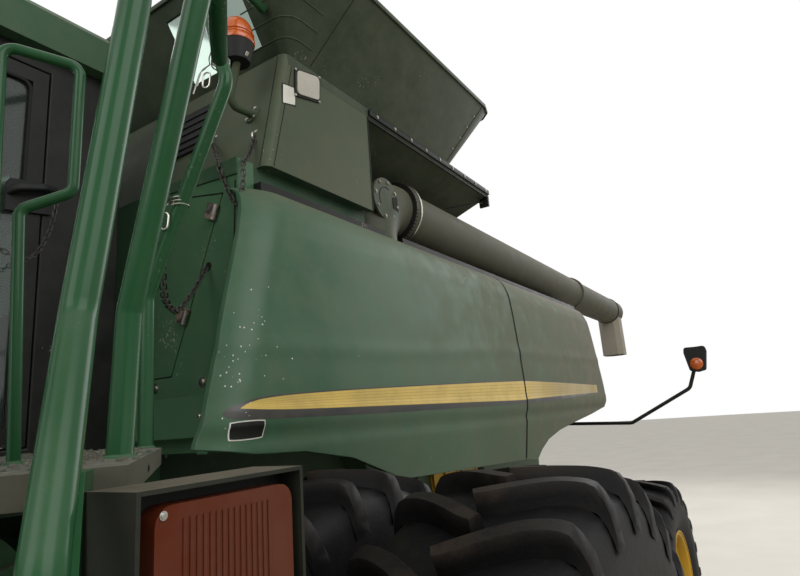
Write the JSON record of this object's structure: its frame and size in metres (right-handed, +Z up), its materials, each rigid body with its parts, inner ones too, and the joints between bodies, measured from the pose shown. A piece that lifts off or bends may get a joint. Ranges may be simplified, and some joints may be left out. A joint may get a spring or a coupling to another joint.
{
  "type": "combine harvester",
  "caption": "Rotary combine harvester without a header, on front dual lugged tyres, with a steered rear axle, open grain tank and a swinging unloading auger.",
  "frame": {"origin": "on the ground under the middle of the machine's length, at its centre line", "axes": "+X forward, +Y to the machine's left, +Z up"},
  "size_m": [9.41, 5.254, 4.07],
  "materials": {
    "main_frame_finish": "satin",
    "front_axle_finish": "satin",
    "rear_axle_finish": "satin",
    "left_knuckle_finish": "satin",
    "right_knuckle_finish": "satin",
    "tie_rod_finish": "satin",
    "separator_body_finish": "satin",
    "cleaning_shoe_finish": "satin",
    "grain_tank_finish": "satin",
    "tank_extension_finish": "satin",
    "front_wall_finish": "satin",
    "service_door_finish": "satin",
    "engine_deck_finish": "satin",
    "engine_block_finish": "satin",
    "engine_hood_finish": "satin",
    "cooling_screen_finish": "matte",
    "straw_hood_finish": "satin",
    "chopper_rotor_finish": "worn",
    "tailboard_finish": "satin",
    "feeder_house_finish": "satin",
    "feeder_chain_finish": "worn",
    "lift_barrels_finish": "satin",
    "lift_rods_finish": "polished",
    "cab_shell_finish": "satin",
    "cab_roof_finish": "satin",
    "cab_door_finish": "satin",
    "cab_door_glass_finish": "clear",
    "fixed_glass_finish": "clear",
    "cab_interior_finish": "matte",
    "platform_finish": "worn",
    "ladder_finish": "worn",
    "unloading_auger_finish": "satin",
    "warning_arms_finish": "satin",
    "amber_lamps_finish": "clear",
    "work_lamps_finish": "clear",
    "left_front_shield_finish": "satin",
    "left_rear_shield_finish": "satin",
    "left_front_tyres_finish": "worn",
    "left_rear_tyre_finish": "worn",
    "left_front_rims_finish": "satin",
    "left_rear_rim_finish": "satin",
    "right_front_shield_finish": "satin",
    "right_rear_shield_finish": "satin",
    "right_front_tyres_finish": "worn",
    "right_rear_tyre_finish": "worn",
    "right_front_rims_finish": "satin",
    "right_rear_rim_finish": "satin"
  },
  "bodies": {
    "machine_body": {"amber_lamps": "amber_lamps_finish", "cab_interior": "cab_interior_finish", "cab_roof": "cab_roof_finish", "cab_shell": "cab_shell_finish", "cleaning_shoe": "cleaning_shoe_finish", "engine_block": "engine_block_finish", "engine_deck": "engine_deck_finish", "engine_hood": "engine_hood_finish", "fixed_glass": "fixed_glass_finish", "front_axle": "front_axle_finish", "front_wall": "front_wall_finish", "grain_tank": "grain_tank_finish", "main_frame": "main_frame_finish", "platform": "platform_finish", "rear_axle": "rear_axle_finish", "separator_body": "separator_body_finish", "straw_hood": "straw_hood_finish", "tailboard": "tailboard_finish", "tank_extension": "tank_extension_finish", "warning_arms": "warning_arms_finish", "work_lamps": "work_lamps_finish"},
    "left_front_wheels": {"left_front_tyres": "left_front_tyres_finish", "left_front_rims": "left_front_rims_finish"},
    "right_front_wheels": {"right_front_tyres": "right_front_tyres_finish", "right_front_rims": "right_front_rims_finish"},
    "left_steering": {"left_knuckle": "left_knuckle_finish"},
    "right_steering": {"right_knuckle": "right_knuckle_finish"},
    "left_rear_wheel": {"left_rear_tyre": "left_rear_tyre_finish", "left_rear_rim": "left_rear_rim_finish"},
    "right_rear_wheel": {"right_rear_tyre": "right_rear_tyre_finish", "right_rear_rim": "right_rear_rim_finish"},
    "tie_rod": {"tie_rod": "tie_rod_finish"},
    "feeder": {"feeder_house": "feeder_house_finish", "feeder_chain": "feeder_chain_finish"},
    "lift_barrels": {"lift_barrels": "lift_barrels_finish"},
    "lift_rods": {"lift_rods": "lift_rods_finish"},
    "unloading_auger": {"unloading_auger": "unloading_auger_finish"},
    "cab_door": {"cab_door": "cab_door_finish", "cab_door_glass": "cab_door_glass_finish"},
    "service_door": {"service_door": "service_door_finish"},
    "left_front_shield": {"left_front_shield": "left_front_shield_finish"},
    "left_rear_shield": {"left_rear_shield": "left_rear_shield_finish"},
    "right_front_shield": {"right_front_shield": "right_front_shield_finish"},
    "right_rear_shield": {"right_rear_shield": "right_rear_shield_finish"},
    "ladder": {"ladder": "ladder_finish"},
    "chopper_rotor": {"chopper_rotor": "chopper_rotor_finish"},
    "cooling_screen": {"cooling_screen": "cooling_screen_finish"}
  },
  "joints": [
    {"name": "left_front_wheels_turn", "type": "hinge", "parent": "machine_body", "child": "left_front_wheels", "pos_m": [1.755, 0, 0.977], "axis": [0, 1, 0], "continuous": true},
    {"name": "right_front_wheels_turn", "type": "hinge", "parent": "machine_body", "child": "right_front_wheels", "pos_m": [1.755, 0, 0.977], "axis": [0, 1, 0], "continuous": true},
    {"name": "left_steer", "type": "hinge", "parent": "machine_body", "child": "left_steering", "pos_m": [-1.805, 1.48, 0.8], "axis": [0, 0, 1], "range_deg": [-38, 38]},
    {"name": "right_steer", "type": "hinge", "parent": "machine_body", "child": "right_steering", "pos_m": [-1.805, -1.48, 0.8], "axis": [0, 0, 1], "range_deg": [-38, 38]},
    {"name": "tie_rod_swivel", "type": "hinge", "parent": "left_steering", "child": "tie_rod", "pos_m": [-2.065, 1.48, 0.63], "axis": [0, 0, 1], "range_deg": [-38, 38]},
    {"name": "left_rear_wheel_turn", "type": "hinge", "parent": "left_steering", "child": "left_rear_wheel", "pos_m": [-1.805, 1.915, 0.732], "axis": [0, 1, 0], "continuous": true},
    {"name": "right_rear_wheel_turn", "type": "hinge", "parent": "right_steering", "child": "right_rear_wheel", "pos_m": [-1.805, -1.915, 0.732], "axis": [0, 1, 0], "continuous": true},
    {"name": "feeder_lift", "type": "hinge", "parent": "machine_body", "child": "feeder", "pos_m": [2.555, 0, 1.56], "axis": [0, -1, 0], "range_deg": [-5, 20]},
    {"name": "lift_barrels_swing", "type": "hinge", "parent": "machine_body", "child": "lift_barrels", "pos_m": [2.005, 0, 0.64], "axis": [0, -1, 0], "range_deg": [-2.8, 11.2]},
    {"name": "lift_rods_slide", "type": "slide", "parent": "lift_barrels", "child": "lift_rods", "axis": [0.9966, 0, 0.0825], "range_m": [-0.0716, 0.2863]},
    {"name": "auger_swing", "type": "hinge", "parent": "machine_body", "child": "unloading_auger", "pos_m": [0.945, 1.292, 3.27], "axis": [0, 0.0599, -0.9982], "range_deg": [0, 90]},
    {"name": "cab_door_swing", "type": "hinge", "parent": "machine_body", "child": "cab_door", "pos_m": [3.285, 0.9, 2.8], "axis": [0, 0, -1], "range_deg": [0, 85]},
    {"name": "service_door_swing", "type": "hinge", "parent": "machine_body", "child": "service_door", "pos_m": [1.967, 1.06, 2.33], "axis": [0, 0.406, 0.9139], "range_deg": [0, 95]},
    {"name": "left_front_shield_lift", "type": "hinge", "parent": "machine_body", "child": "left_front_shield", "pos_m": [0.6, 1.48, 3.003], "axis": [1, 0, 0], "range_deg": [0, 70]},
    {"name": "left_rear_shield_lift", "type": "hinge", "parent": "machine_body", "child": "left_rear_shield", "pos_m": [-1.3, 1.48, 3.003], "axis": [1, 0, 0], "range_deg": [0, 70]},
    {"name": "right_front_shield_lift", "type": "hinge", "parent": "machine_body", "child": "right_front_shield", "pos_m": [0.6, -1.48, 3.003], "axis": [-1, 0, 0], "range_deg": [0, 70]},
    {"name": "right_rear_shield_lift", "type": "hinge", "parent": "machine_body", "child": "right_rear_shield", "pos_m": [-1.3, -1.48, 3.003], "axis": [-1, 0, 0], "range_deg": [0, 70]},
    {"name": "ladder_swing", "type": "hinge", "parent": "machine_body", "child": "ladder", "pos_m": [3.44498, 1.98701, 2.02], "axis": [0, 0, -1], "range_deg": [0, 100]},
    {"name": "chopper_turn", "type": "hinge", "parent": "machine_body", "child": "chopper_rotor", "pos_m": [-2.355, 0, 1.13], "axis": [0, 1, 0], "continuous": true},
    {"name": "screen_turn", "type": "hinge", "parent": "machine_body", "child": "cooling_screen", "pos_m": [-1.195, -1.25, 3.215], "axis": [0, 1, 0], "continuous": true}
  ],
  "couplings": [
    {"joint": "right_steer", "follows": "left_steer", "ratio": 1},
    {"joint": "tie_rod_swivel", "follows": "left_steer", "ratio": -1},
    {"joint": "lift_barrels_swing", "follows": "feeder_lift", "ratio": 0.56},
    {"joint": "lift_rods_slide", "follows": "feeder_lift", "m_per_rad": 0.82}
  ]
}
